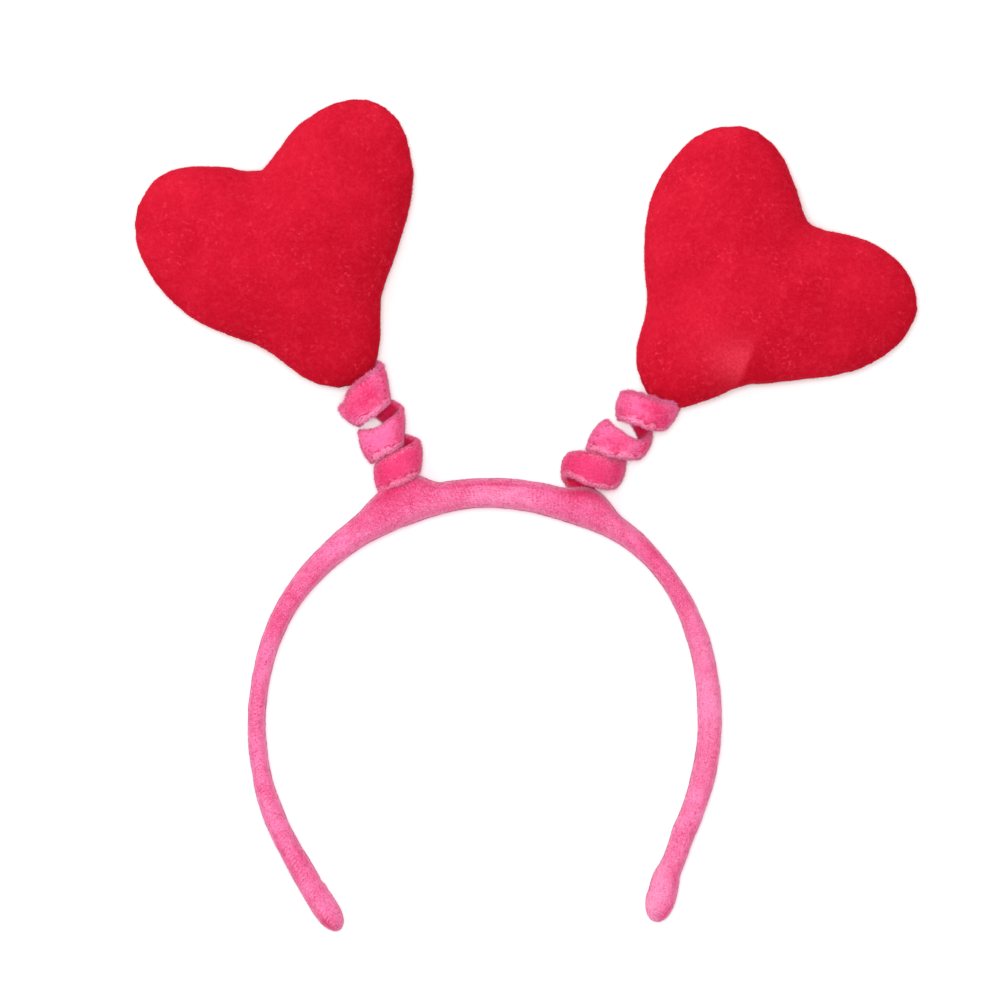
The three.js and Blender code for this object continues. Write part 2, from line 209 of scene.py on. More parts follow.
# How strongly the hearts' pile is patched, and how strongly shade is painted darker in the tip and on the
# side turned to the lower right, away from the light
PATCHED = 0.65
TIP_SHADE_PAINTED = 0.45
SIDE_SHADE_PAINTED = 0.7

# Where a hand has brushed the right heart's pile: the middle of the crease that bounds the mark, in the frame
HAND_MARK = dict(x=65.1, y=44.6, slant=-22.0, across=11.0, along=6.5, edge=0.3)

# Pile: the fibres on each piece, their length and half width, how far they lie over, and where they grow
PILES = {
    "band_pile": dict(count=38000, length=0.45, width=0.06, lean=1.6),
    "band_fringe": dict(count=12000, length=0.6, width=0.07, lean=0.8, only="fringe"),
    "heart_pile": dict(count=40000, length=0.4, width=0.07, lean=2.2),
    "spring_pile": dict(count=15000, length=0.5, width=0.06, lean=1.2),
    "spring_fringe": dict(count=7000, length=0.6, width=0.08, lean=0.9, only="fringe"),
    "spring_top_fringe": dict(count=1200, length=0.9, width=0.1, lean=0.7, only="beside_heart"),
}
PILE_STARTS_ABOVE = 0.7
SWIRLS = dict(wide=22.0, fine=6.0, fine_share=0.25, unkempt=0.45)
FIBRE_ROOT = 0.08
FIBRE_SHORTEST = 0.6
FIBRE_VARIES = 0.8
FIBRE_ABOVE_FLOOR = 0.05
FIBRE_FOOT_PALENESS = 0.2
SHADED_FIBRES = 0.2
# Where the hearts' painted shade falls: on the side facing this way, away from the light from the upper left
SHADED_SIDE_FACES = np.array((0.75, -0.65, 0.0))

# A fibre is lit as the cloth under it, turned this much along the fibre, and upwards too in a fringe
LIT_ALONG = 0.25
FRINGE_LIT_UP = 1.2

# The numbers painted on a piece's vertices that its pile takes over
PAINTED = ("brush_and_shade", "pale", "rise", "edge", "inner", "shaded_low_turn", "along", "ribbed", "lined", "rim", "tone_and_shade")


def curve_through(rows, key, column):
    """Reads a table's column anywhere along its key column, on a smooth curve through the rows."""
    keys = np.array([row[key] for row in rows], float)
    values = np.array([row[column] for row in rows], float)
    index = np.arange(len(rows))
    before = np.maximum(index - 1, 0)
    after = np.minimum(index + 1, len(rows) - 1)
    slopes = (values[after] - values[before]) / (keys[after] - keys[before])

    def read(place):
        i = np.clip(np.searchsorted(keys, place, side="right") - 1, 0, len(rows) - 2)
        span = keys[i + 1] - keys[i]
        t = np.clip((place - keys[i]) / span, 0, 1)
        rise = values[i + 1] - values[i]
        bend = (slopes[i] * span - rise) * (1 - t) + (rise - slopes[i + 1] * span) * t
        return values[i] + rise * t + bend * t * (1 - t)

    return read


def unit(vectors):
    return vectors / np.maximum(np.linalg.norm(vectors, axis=-1, keepdims=True), 1e-12)


def cloud(points, grain, seed=0.0):
    """Smooth lumps of noise, about -1 to 1, each about grain millimetres across."""
    shift = Vector((seed, 2 * seed, 3 * seed))
    return np.array([noise.noise(Vector(point) / grain + shift) for point in points])


def lumps(points, rows):
    return sum(row["height"] * cloud(points, row["grain"], row["seed"]) for row in rows)


def bump(offset, width):
    """1 where offset is 0, falling off smoothly to either side."""
    return np.exp(-((offset / width) ** 2))


def step(offset):
    """0 well below an offset of 0 and 1 well above it, with a smooth rise between."""
    return 1 / (1 + np.exp(np.clip(-offset, -40, 40)))


def ball(rings, sides):
    """A ball of that many rings between two poles, with each vertex's ring number and angle round it."""
    bm = bmesh.new()
    bmesh.ops.create_uvsphere(bm, u_segments=sides, v_segments=rings + 1, radius=1.0)
    bm.verts.index_update()
    count = len(bm.verts)

    def face_number(face):
        low, middle, high = sorted(vert.index for vert in face.verts)[:3]
        return (low * count + middle) * count + high

    # Blender makes the ball's faces in another order in each run, and the pile's draws go by that order
    bm.faces.sort(key=face_number)
    place = np.array([vert.co for vert in bm.verts])
    polar = np.arctan2(np.hypot(place[:, 0], place[:, 1]), place[:, 2])
    ring = np.rint(polar / np.pi * (rings + 1)).astype(int)
    return bm, ring, np.arctan2(place[:, 1], place[:, 0])


def rounded_run(first, last, steps, cap_steps, end):
    """Rings of a padded run with round ends: the place of each, how far beyond it, and the section kept."""
    cap = np.linspace(0, np.pi / 2, cap_steps + 1)[:-1]
    middle = np.linspace(first, last, steps + 1)
    place = np.concatenate((np.full(cap_steps, first), middle, np.full(cap_steps, last)))
    beyond = np.concatenate((-end * np.cos(cap), np.zeros(steps + 1), end * np.cos(cap[::-1])))
    keeps = np.concatenate((np.sin(cap), np.ones(steps + 1), np.sin(cap[::-1])))
    return place, beyond, keeps


def soften(x, squareness):
    return np.sign(x) * np.abs(x) ** (2 / squareness)


def new_piece(name, bm, points_mm):
    """A finished bmesh as an object at the origin, its vertices at points in millimetres about the loop."""
    points = (points_mm + LOOP_CENTRE) * MM
    for vert, point in zip(bm.verts, points):
        vert.co = point
    bmesh.ops.recalc_face_normals(bm, faces=bm.faces)
    mesh = bpy.data.meshes.new(name)
    bm.to_mesh(mesh)
    bm.free()
    mesh.shade_smooth()
    piece = bpy.data.objects.new(name, mesh)
    bpy.context.scene.collection.objects.link(piece)
    return piece


def points_of(mesh):
    """The vertices of a mesh, in millimetres in the frame."""
    flat = np.empty(3 * len(mesh.vertices), np.float32)
    mesh.vertices.foreach_get("co", flat)
    return flat.reshape(-1, 3).astype(float) / MM


def normals_of(mesh):
    flat = np.empty(3 * len(mesh.vertices), np.float32)
    mesh.vertices.foreach_get("normal", flat)
    return flat.reshape(-1, 3).astype(float)


def length_along(centre):
    """How far along a run each of its rings lies."""
    return np.concatenate(((0.0,), np.cumsum(np.linalg.norm(np.diff(centre, axis=0), axis=1))))


def set_points(mesh, points_mm):
    mesh.vertices.foreach_set("co", (points_mm * MM).astype(np.float32).ravel())
    mesh.update()


def paint(mesh, name, values):
    """Keeps a number for each vertex, which the materials read."""
    attribute = mesh.attributes.get(name) or mesh.attributes.new(name, "FLOAT", "POINT")
    attribute.data.foreach_set("value", np.asarray(values, np.float32))


def painted_on(mesh, name):
    values = np.empty(len(mesh.vertices), np.float32)
    mesh.attributes[name].data.foreach_get("value", values)
    return values


def bake_modifiers(piece):
    """The piece's mesh as its modifiers leave it, with none left on it."""
    graph = bpy.context.evaluated_depsgraph_get()
    mesh = bpy.data.meshes.new_from_object(piece.evaluated_get(graph))
    piece.modifiers.clear()
    piece.data = mesh
    mesh.shade_smooth()


def keep_largest(piece):
    """Drops all but the largest body of a piece that was cut."""
    bm = bmesh.new()
    bm.from_mesh(piece.data)
    left = set(bm.verts)
    bodies = []
    while left:
        body = {left.pop()}
        edge = list(body)
        while edge:
            near = {e.other_vert(vert) for vert in edge for e in vert.link_edges} & left
            left -= near
            body |= near
            edge = list(near)
        bodies.append(body)
    bodies.sort(key=len)
    bmesh.ops.delete(bm, geom=[vert for body in bodies[:-1] for vert in body], context="VERTS")
    bm.to_mesh(piece.data)
    bm.free()


# Band


def mound_rise(turn):
    rise = np.zeros_like(turn)
    for mound in SPRING_MOUNDS:
        foot = np.where(turn < mound["turn"], mound["before"], mound["after"])
        share = np.minimum(np.abs(turn - mound["turn"]) / foot, 1)
        rise += mound["rise"] * np.cos(share * np.pi / 2) ** 2
    return rise


def band_middle(turn):
    radius = curve_through(BAND_STATIONS, "turn", "radius")(turn)
    angle = np.radians(turn)
    return np.stack((radius * np.cos(angle), radius * np.sin(angle), np.zeros_like(turn)), axis=-1)


def band_relief(turn, angle, points):
    """Lumps of the padding, the crease along the crown, and the folds of the cover at the left end."""
    relief = lumps(points, BAND_LUMPS)
    crease, fold, groove = CROWN_CREASE, LEFT_END_FOLD, LEFT_END_GROOVE
    on_crown = bump(turn - crease["turn"], crease["over"])
    relief -= crease["depth"] * on_crown * bump(angle - crease["angle"], crease["round"])
    inner = bump(np.abs(angle) - np.pi, fold["round"])
    folded = step((turn - fold["turn"]) / fold["sharpness"])
    relief += inner * (fold["rise"] * folded - groove["depth"] * bump(turn - groove["turn"], groove["over"]))
    return relief


def band_tone_and_shade(turn, angle):
    """How much paler, or deeper below 0, the velour is there, with the painted shadow and shade among the
    deeper places, -1 to 1.
    """
    tone_and_shade = np.zeros_like(turn)
    for row in BAND_TONES_AND_SHADE:
        tone_and_shade += row["tone_and_shade"] * bump(turn - row["turn"], row["over"]) * bump(angle - row["angle"], row["round"])
    return np.clip(tone_and_shade, -1, 1)


def paint_band(mesh, turn, beyond, along, angle):
    """Numbers that the band's velour reads: lengths, ribs, lines, the fringed edges and the tone, with its
    painted shade.
    """
    paint(mesh, "along", along)
    paint(mesh, "rise", np.abs(angle) * SECTION_RADIUS)
    paint(mesh, "lined", bump(turn - LINED_CROWN["turn"], LINED_CROWN["over"]))
    crest = bump(angle - RIBBED_LEG["angle"], RIBBED_LEG["round"])
    leg = np.clip((turn - RIBBED_LEG["starts"]) / RIBBED_LEG["full_after"], 0, 1)
    paint(mesh, "ribbed", crest * leg)
    paint(mesh, "fringe", (np.abs(np.cos(angle)) > FRINGE_STARTS) * (np.sin(angle) > 0))
    past_end = np.sign(turn - CROWN_TURN) * np.abs(beyond) * DEGREES_PER_MM
    paint(mesh, "tone_and_shade", band_tone_and_shade(turn + past_end, angle))


def band_skin(name, steps, sides, grow=0.0):
    """The padded band, grown all over by that much."""
    first = BAND_STATIONS[0]["turn"]
    last = BAND_STATIONS[-1]["turn"]
    turns, beyond, keeps = rounded_run(first, last, steps, BAND_END_STEPS, BAND_END_LENGTH + grow)
    bm, ring, angle = ball(len(turns) - 2, sides)
    thick = curve_through(BAND_STATIONS, "turn", "thick")(turns)
    depth = curve_through(BAND_STATIONS, "turn", "depth")(turns)
    rise = mound_rise(turns)
    near = 0.5
    within = np.clip(turns, first + near, last - near)
    along = unit(band_middle(within + near) - band_middle(within - near))
    outward = np.cross(along, UP)
    centre = band_middle(turns) + outward * (rise / 2)[:, None] + along * beyond[:, None]
    centre[:, 2] = depth / 2 - BAND_SETTLE
    half_thick = ((thick + rise) / 2 + grow) * keeps
    half_depth = (depth / 2 + grow) * keeps
    side = soften(np.cos(angle), BAND_SQUARENESS)[:, None] * outward[ring]
    top = soften(np.sin(angle), BAND_SQUARENESS)[:, None] * UP
    points = centre[ring] + side * half_thick[ring, None] + top * half_depth[ring, None]
    lift = unit(np.cos(angle)[:, None] * outward[ring] + np.sin(angle)[:, None] * UP)
    points += lift * (band_relief(turns[ring], angle, points) * keeps[ring])[:, None]
    points[:, 2] = np.maximum(points[:, 2], 0)
    piece = new_piece(name, bm, points)
    paint_band(piece.data, turns[ring], beyond[ring], length_along(centre)[ring], angle)
    return piece


# Springs


def ribbon_relief(rise, outer, points):
    """The hem along the edge towards the band, a fold line above it, and soft lumps."""
    hem, fold = RIBBON_HEM, RIBBON_FOLD
    wandering = rise + lumps(points, [HEM_WANDERS])
    broken = np.clip(FOLD_SHOWS + lumps(points, [FOLD_BREAKS]), 0, 1)
    sewn = hem["height"] * bump(wandering - hem["rise"], hem["width"])
    sewn -= fold["depth"] * bump(wandering - fold["rise"], fold["width"]) * broken
    return outer * sewn + lumps(points, RIBBON_LUMPS)


def paint_ribbon(mesh, turn, turns_left, along, rise, across, out):
    """Numbers that a ribbon's velour reads: lengths, edges, fringes, and the coil's inside and its low turn,
    where shade is painted.
    """
    paint(mesh, "along", along)
    paint(mesh, "rise", rise)
    paint(mesh, "edge", np.abs(across) ** 4)
    paint(mesh, "fringe", (np.abs(across) > FRINGED_PAST) * (out > 0))
    paint(mesh, "beside_heart", (across > TOP_FRINGED_PAST) * (out > 0) * (turns_left < TOP_FRINGE_TURNS))
    # The coil's inner face, where shade is painted
    paint(mesh, "inner", np.clip(-INNER_SHARPNESS * (out + INNER_PAST), 0, 1))
    paint(mesh, "shaded_low_turn", bump(turn - SHADED_LOW_TURN["turns"], SHADED_LOW_TURN["over"]))


def ribbon_skin(name, rows):
    """A spring's padded ribbon, wound about the axis that its table gives."""
    columns = ("across", "up", "height", "coil", "width", "lean")
    read = {column: curve_through(rows, "turns", column) for column in columns}
    small = 0.01

    def axis(turns):
        return np.stack([read[column](turns) for column in columns[:3]], axis=-1)

    way = unit(axis(rows[-1]["turns"]) - axis(rows[0]["turns"]))
    right = unit(np.cross(way, UP))
    front = np.cross(right, way)

    def path(turns):
        angle = 2 * np.pi * turns[:, None]
        return axis(turns) + (right * np.cos(angle) - front * np.sin(angle)) * read["coil"](turns)[:, None]

    first = rows[0]["turns"] + small
    last = rows[-1]["turns"] - small
    steps = round((last - first) * RIBBON_STEPS_PER_TURN)
    turns, beyond, keeps = rounded_run(first, last, steps, RIBBON_END_STEPS, RIBBON_END_LENGTH)
    bm, ring, angle = ball(len(turns) - 2, RIBBON_SIDES)
    along = unit(path(turns + small) - path(turns - small))
    lean = np.radians(read["lean"](turns))
    heartward = np.stack((np.sin(lean), np.cos(lean), np.full_like(lean, way[2])), axis=-1)
    heartward = unit(heartward - along * np.sum(heartward * along, axis=1, keepdims=True))
    outward = np.cross(along, heartward)
    centre = path(turns) + along * beyond[:, None]
    half_width = (read["width"](turns) / 2 * keeps)[ring]
    half_thick = (RIBBON_THICK / 2 * keeps)[ring]
    across = soften(np.sin(angle), RIBBON_SQUARENESS)
    out = soften(np.cos(angle), RIBBON_SQUARENESS)
    points = centre[ring] + heartward[ring] * (across * half_width)[:, None]
    points += outward[ring] * (out * half_thick)[:, None]
    rise = (1 + across) * half_width
    outer = np.clip(3 * out, 0, 1)
    ragged = lumps(points, RIBBON_FRAYS) * np.abs(across) ** 3 * np.sign(across)
    points += heartward[ring] * (ragged * keeps[ring])[:, None]
    points += outward[ring] * (ribbon_relief(rise, outer, points) * keeps[ring])[:, None]
    piece = new_piece(name, bm, points)
    turns_left = rows[-1]["turns"] - turns[ring]
    paint_ribbon(piece.data, turns[ring], turns_left, length_along(centre)[ring], rise, across, out)
    return piece


COARSE_VOXEL = 0.0015


def grown_copy(piece, grow):
    """A coarser copy of a piece, grown all over, to cut its neighbours with."""
    copy = bpy.data.objects.new(piece.name + "_space", piece.data.copy())
    bpy.context.scene.collection.objects.link(copy)
    remesh(copy, COARSE_VOXEL)
    set_points(copy.data, points_of(copy.data) + normals_of(copy.data) * grow)
    return copy


def cut_clear(piece, neighbours):
    """Cuts a piece back where a neighbour fills its space."""
    for neighbour in neighbours:
        cut = piece.modifiers.new("clear of " + neighbour.name, "BOOLEAN")
        cut.operation = "DIFFERENCE"
        cut.solver = "EXACT"
        cut.object = neighbour
    bake_modifiers(piece)
    keep_largest(piece)


# Hearts

STUFFING_SCALE = 5.0
STUFFING_VOXEL = 0.006
STUFFING_PRESSURE = 4.0
STUFFING_FRAMES = 20
STUFFING_CAP = 3.0
SLACK_SHARE = 0.84
SEAM_HELD_WITHIN = 0.8


def merged_copy(node_name, name):
    """A copy of a CAD node's mesh with its loose triangles joined."""
    bm = bmesh.new()
    bm.from_mesh(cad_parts[node_name].data)
    bmesh.ops.remove_doubles(bm, verts=bm.verts, dist=1e-6)
    mesh = bpy.data.meshes.new(name)
    bm.to_mesh(mesh)
    bm.free()
    piece = bpy.data.objects.new(name, mesh)
    bpy.context.scene.collection.objects.link(piece)
    return piece


def remesh(piece, voxel):
    even = piece.modifiers.new("even cloth", "REMESH")
    even.mode = "VOXEL"
    even.voxel_size = voxel
    bake_modifiers(piece)


def inflate(piece, pinned):
    """Blows the slack shell up as its stuffing does, with its seam held, and caps how far it moves."""
    seam = piece.vertex_groups.new(name="seam")
    seam.add([int(i) for i in np.flatnonzero(pinned)], 1.0, "REPLACE")
    slack = points_of(piece.data)
    cloth = piece.modifiers.new("stuffing", "CLOTH")
    cloth.settings.quality = 6
    cloth.settings.mass = 0.3
    cloth.settings.use_pressure = True
    cloth.settings.uniform_pressure_force = STUFFING_PRESSURE
    cloth.settings.effector_weights.gravity = 0
    cloth.settings.vertex_group_mass = seam.name
    cloth.point_cache.frame_start = 1
    cloth.point_cache.frame_end = STUFFING_FRAMES
    for number in range(1, STUFFING_FRAMES + 1):
        bpy.context.scene.frame_set(number)
    bake_modifiers(piece)
    bpy.context.scene.frame_set(1)
    piece.vertex_groups.clear()
    move = points_of(piece.data) - slack
    length = np.linalg.norm(move, axis=1, keepdims=True)
    cap = STUFFING_CAP * STUFFING_SCALE
    set_points(piece.data, slack + move * np.minimum(1, cap / np.maximum(length, 1e-9)))


def stuffed_heart(name):
    """A heart's shell, made slack and then stuffed, at a larger scale that suits the cloth's own sizes.
    """
    piece = merged_copy(name, "plush_" + name)
    points = points_of(piece.data)
    set_points(piece.data, points * STUFFING_SCALE)
    remesh(piece, STUFFING_VOXEL)
    points = points_of(piece.data)
    seam = SEAM_HEIGHT * STUFFING_SCALE
    points[:, 2] = seam + (points[:, 2] - seam) * SLACK_SHARE
    set_points(piece.data, points)
    inflate(piece, np.abs(points[:, 2] - seam) < SEAM_HELD_WITHIN * STUFFING_SCALE)
    set_points(piece.data, points_of(piece.data) / STUFFING_SCALE)
    finer = piece.modifiers.new("finer cloth", "SUBSURF")
    finer.levels = 1
    finer.render_levels = 1
    bake_modifiers(piece)
    sew_heart(piece, HEARTS[name])
    return piece


def sew_heart(piece, place):
    """The seam's groove and the puckers that run in from it, and the flat on which the heart lies."""
    points = points_of(piece.data)
    normals = normals_of(piece.data)
    middle = np.array((place["across"], place["up"], 0)) + LOOP_CENTRE
    off_seam = points[:, 2] - SEAM_HEIGHT
    bearing = unit((points - middle) * (1, 1, 0))
    gathers = SEAM_PUCKERS
    pulled_in = np.maximum(cloud(bearing * gathers["round_seam"], gathers["grain"], place["tilt"]), 0)
    puckers = gathers["depth"] * pulled_in * np.exp(-np.abs(off_seam) / gathers["reach"])
    relief = HEART_FILLS_OUT - SEAM_GROOVE["depth"] * bump(off_seam, SEAM_GROOVE["width"]) - puckers
    relief += HEART_LUMPS["height"] * cloud(points, HEART_LUMPS["grain"], place["tilt"])
    points += normals * relief[:, None]
    points[:, 2] = np.maximum(points[:, 2], 0)
    set_points(piece.data, points)


# Pile


def brush_marks(points, seed):
    """Patches where the pile has been brushed lighter or darker, about 0 to 1."""
    wide = cloud(points, 16.0, seed)
    fine = cloud(points, 6.0, seed + 7.0)
    return np.clip(0.5 + 0.5 * wide + 0.35 * fine, 0, 1)


def tip_shade(points, place):
    """How far a point lies out in the heart's tip, where shade is painted darker, 0 to 1."""
    tilt = math.radians(place["tilt"])
    middle = np.array((place["across"], place["up"], 0)) + LOOP_CENTRE
    out = (points - middle) @ np.array((math.sin(tilt), -math.cos(tilt), 0))
    return np.clip((out - TIP_STARTS) / TIP_LENGTH, 0, 1)


def shade_away_from_light(mesh):
    """How far a place faces the lower right, away from the light, where shade is painted darker, -1 to 1;
    below 0 it faces the light and is painted paler.
    """
    return normals_of(mesh) @ SHADED_SIDE_FACES


def hand_mark(points):
    """The patch that a hand has brushed pale on the right heart, which ends sharply at a crease."""
    mark = HAND_MARK
    x = points[:, 0] - mark["x"]
    y = points[:, 1] - mark["y"]
    slant = math.radians(mark["slant"])
    past_crease = x * math.cos(slant) + y * math.sin(slant)
    along_crease = y * math.cos(slant) - x * math.sin(slant)
    edge = step(-past_crease / mark["edge"])
    fade = bump(np.minimum(past_crease, 0), mark["across"]) * bump(along_crease, mark["along"])
    return edge * fade * (points[:, 2] > SEAM_HEIGHT)


def scatter(mesh, rng, count, only):
    """Places picked over a mesh, or over what is painted: the three vertices about each, and their shares."""
    mesh.calc_loop_triangles()
    corners = np.empty(3 * len(mesh.loop_triangles), np.int32)
    mesh.loop_triangles.foreach_get("vertices", corners)
    corners = corners.reshape(-1, 3)
    points = points_of(mesh)
    a, b, c = (points[corners[:, k]] for k in range(3))
    weight = np.linalg.norm(np.cross(b - a, c - a), axis=1) * ((a + b + c)[:, 2] > 3 * PILE_STARTS_ABOVE)
    if only is not None:
        weight = weight * painted_on(mesh, only)[corners].mean(axis=1)
    picked = corners[rng.choice(len(corners), count, p=weight / weight.sum())]
    r = np.sqrt(rng.random(count))
    s = rng.random(count)
    return picked, np.stack((1 - r, r * (1 - s), r * s), axis=1)


def combed(root, normal, rng, seed, lean):
    """The way each fibre points: up from the cloth and over to one side, in swirls."""
    wide = cloud(root, SWIRLS["wide"], seed + 0.5)
    fine = cloud(root, SWIRLS["fine"], seed + 0.7)
    swirl = np.pi * (wide + SWIRLS["fine_share"] * fine)
    comb = np.stack((np.cos(swirl), np.sin(swirl), np.zeros_like(swirl)), axis=1)
    comb = comb + rng.normal(0, SWIRLS["unkempt"], root.shape)
    comb -= normal * np.sum(comb * normal, axis=1, keepdims=True)
    return unit(normal + lean * comb)


def spikes(name, ring, tip):
    """One mesh of closed three-sided spikes: the three corners round each foot, and each tip."""
    points = np.stack((*ring, tip), axis=1).reshape(-1, 3)
    faces = np.array(((0, 1, 3), (1, 2, 3), (2, 0, 3), (2, 1, 0)))
    faces = (faces[None] + 4 * np.arange(len(tip))[:, None, None]).reshape(-1, 3)
    mesh = bpy.data.meshes.new(name)
    mesh.from_pydata((points * MM).tolist(), [], faces.tolist())
    mesh.shade_smooth()
    return mesh


def pile(name, body, seed, count, length, width, lean, only=None):
    """Fibres of a piece's pile, which stand on its surface and take over what is painted there."""
    rng = np.random.default_rng(seed)
    mesh = body.data
    picked, shares = scatter(mesh, rng, count, only)
    root = np.sum(points_of(mesh)[picked] * shares[:, :, None], axis=1)
    normal = unit(np.sum(normals_of(mesh)[picked] * shares[:, :, None], axis=1))
    way = combed(root, normal, rng, seed, lean)
    long = length * (FIBRE_SHORTEST + FIBRE_VARIES * rng.random(count))
    tip = root + way * long[:, None]
    tip[:, 2] = np.maximum(tip[:, 2], FIBRE_ABOVE_FLOOR)
    first = unit(np.cross(way, rng.normal(0, 1, (count, 3))))
    second = np.cross(way, first)
    foot = root - normal * FIBRE_ROOT
    thirds = (0, 2 * np.pi / 3, 4 * np.pi / 3)
    ring = [foot + width * (math.cos(t) * first + math.sin(t) * second) for t in thirds]
    fibres = spikes(name, ring, tip)
    upright = unit(normal + LIT_ALONG * way + (0 if only is None else FRINGE_LIT_UP * UP))
    fibres.normals_split_custom_set_from_vertices(np.repeat(upright, 4, axis=0).tolist())
    paleness = 3 * [FIBRE_FOOT_PALENESS] + [1.0]
    paint(fibres, "tip", np.repeat(rng.random(count), 4) * np.tile(paleness, count))
    paint(fibres, "shaded", np.repeat(rng.random(count) < SHADED_FIBRES, 4))
    for painted in PAINTED:
        if painted in mesh.attributes:
            values = painted_on(mesh, painted)
            paint(fibres, painted, np.repeat(np.sum(values[picked] * shares, axis=1), 4))
    piece = bpy.data.objects.new(name, fibres)
    bpy.context.scene.collection.objects.link(piece)
    return piece


# Materials


class Finish:
    """A material being wired up, with a short way to add a node and its inputs."""

    def __init__(self, name):
        self.material = bpy.data.materials.new(name)
        self.material.use_nodes = True
        self.tree = self.material.node_tree
        self.tree.nodes.clear()

    def node(self, kind, inputs=None, **settings):
        made = self.tree.nodes.new(kind)
        for key, value in settings.items():
            setattr(made, key, value)
        for key, value in (inputs or {}).items():
            if isinstance(value, bpy.types.NodeSocket):
                self.tree.links.new(value, made.inputs[key])
            else:
                made.inputs[key].default_value = value
        return made

    def place(self):
        return self.node("ShaderNodeTexCoord").outputs["Object"]

    def noise(self, place, grain, detail=2.0):
        """Noise with lumps about grain millimetres across."""
        made = self.node("ShaderNodeTexNoise", {"Vector": place, "Scale": 1 / (grain * MM), "Detail": detail})
        return made.outputs["Fac"]

    def lengthwise(self, stretch):
        """A place on a run of cloth, on which patterns come out that much longer along it than across it."""
        along = self.times(self.attribute("along"), MM / stretch)
        across = self.times(self.attribute("rise"), MM)
        return self.node("ShaderNodeCombineXYZ", {"X": along, "Y": across}).outputs["Vector"]

    def attribute(self, name):
        return self.node("ShaderNodeAttribute", attribute_name=name).outputs["Fac"]

    def math(self, operation, a, b):
        return self.node("ShaderNodeMath", {0: a, 1: b}, operation=operation).outputs[0]

    def times(self, a, b):
        return self.math("MULTIPLY", a, b)

    def spread(self, value, low, high, to_low=0.0, to_high=1.0):
        """A value between low and high, stretched over another range."""
        inputs = {"Value": value, "From Min": low, "From Max": high, "To Min": to_low, "To Max": to_high}
        return self.node("ShaderNodeMapRange", inputs).outputs["Result"]

    def blend(self, share, a, b):
        inputs = {0: share, 6: a, 7: b}
        return self.node("ShaderNodeMix", inputs, data_type="RGBA").outputs[2]

    def done(self, colour, height, distance, sheen, sheen_tint):
        """The material with that colour, relief and sheen."""
        relief = self.node("ShaderNodeBump", {"Height": height, "Strength": 1.0, "Distance": distance * MM})
        shader = self.node(
            "ShaderNodeBsdfPrincipled",
            {
                "Base Color": colour,
                "Roughness": 0.95,
                "Specular IOR Level": 0.0,
                "Sheen Weight": sheen,
                "Sheen Roughness": 0.4,
                "Sheen Tint": sheen_tint,
                "Normal": relief.outputs["Normal"],
            },
        )
        output = self.node("ShaderNodeOutputMaterial")
        self.tree.links.new(shader.outputs["BSDF"], output.inputs["Surface"])
        return self.material


# Pinks of the velour, with the painted shade of the coil's inside and of the band's deeper places, and how
# strongly the painted sheen on its rims, the shaded fibres and the sheen show on the band and on the ribbons
DARK = (0.50, 0.015, 0.077, 1)
ROSE_AND_SHADE = (0.61, 0.020, 0.112, 1)
FROST = (0.80, 0.310, 0.475, 1)
INSIDE_SHADE = (0.61, 0.002, 0.050, 1)
SHEEN_TINT = (1.0, 0.58, 0.74, 1)
BAND_VELOUR = dict(
    deep=(0.65, 0.056, 0.188, 1),
    fair=(0.73, 0.146, 0.338, 1),
    painted_sheen=(0.96, 0.240, 0.440, 1),
    painted_sheen_share=0.45,
    shaded=0.6,
    sheen=0.55,
)
RIBBON_VELOUR = dict(
    deep=(0.67, 0.026, 0.126, 1),
    fair=(0.80, 0.124, 0.312, 1),
    painted_sheen=(0.98, 0.170, 0.390, 1),
    painted_sheen_share=0.5,
    shaded=0.4,
    sheen=0.2,
)


def pink_velour(name, look, marks):
    """Velour with a short frosted pile, and with the marks that only the band or only a ribbon has."""
    finish = Finish(name)
    place = finish.place()
    patches = finish.noise(place, 4.0, 2.0)
    weave = dict(
        fibres=finish.noise(place, 0.35, 2.0),
        knit=finish.noise(place, 1.4, 2.0),
        rows=finish.noise(finish.lengthwise(2.0), 0.5, 1.0),
    )
    shade = finish.blend(finish.spread(finish.attribute("brush_and_shade"), 0.25, 0.7), look["deep"], look["fair"])
    shade = finish.blend(finish.spread(patches, 0.48, 0.66, 0.0, 0.7), shade, look["deep"])
    shade = finish.blend(finish.spread(weave["knit"], 0.5, 0.75, 0.0, 0.2), shade, FROST)
    shade = marks(finish, shade, weave)
    # Painted sheen: faces turned sideways, where the pile is seen edge-on, are painted paler
    rim = finish.spread(finish.attribute("rim"), 0.35, 0.9, 0.0, look["painted_sheen_share"])
    shade = finish.blend(rim, shade, look["painted_sheen"])
    # Painted shade on the inner face of the coil
    shade = finish.blend(finish.times(finish.attribute("inner"), 0.9), shade, INSIDE_SHADE)
    shade = finish.blend(finish.times(finish.attribute("tip"), 0.4), shade, FROST)
    shade = finish.blend(finish.times(finish.attribute("shaded"), look["shaded"]), shade, DARK)
    height = finish.math("ADD", weave["fibres"], weave["knit"])
    return finish.done(shade, height, 0.05, look["sheen"], SHEEN_TINT)


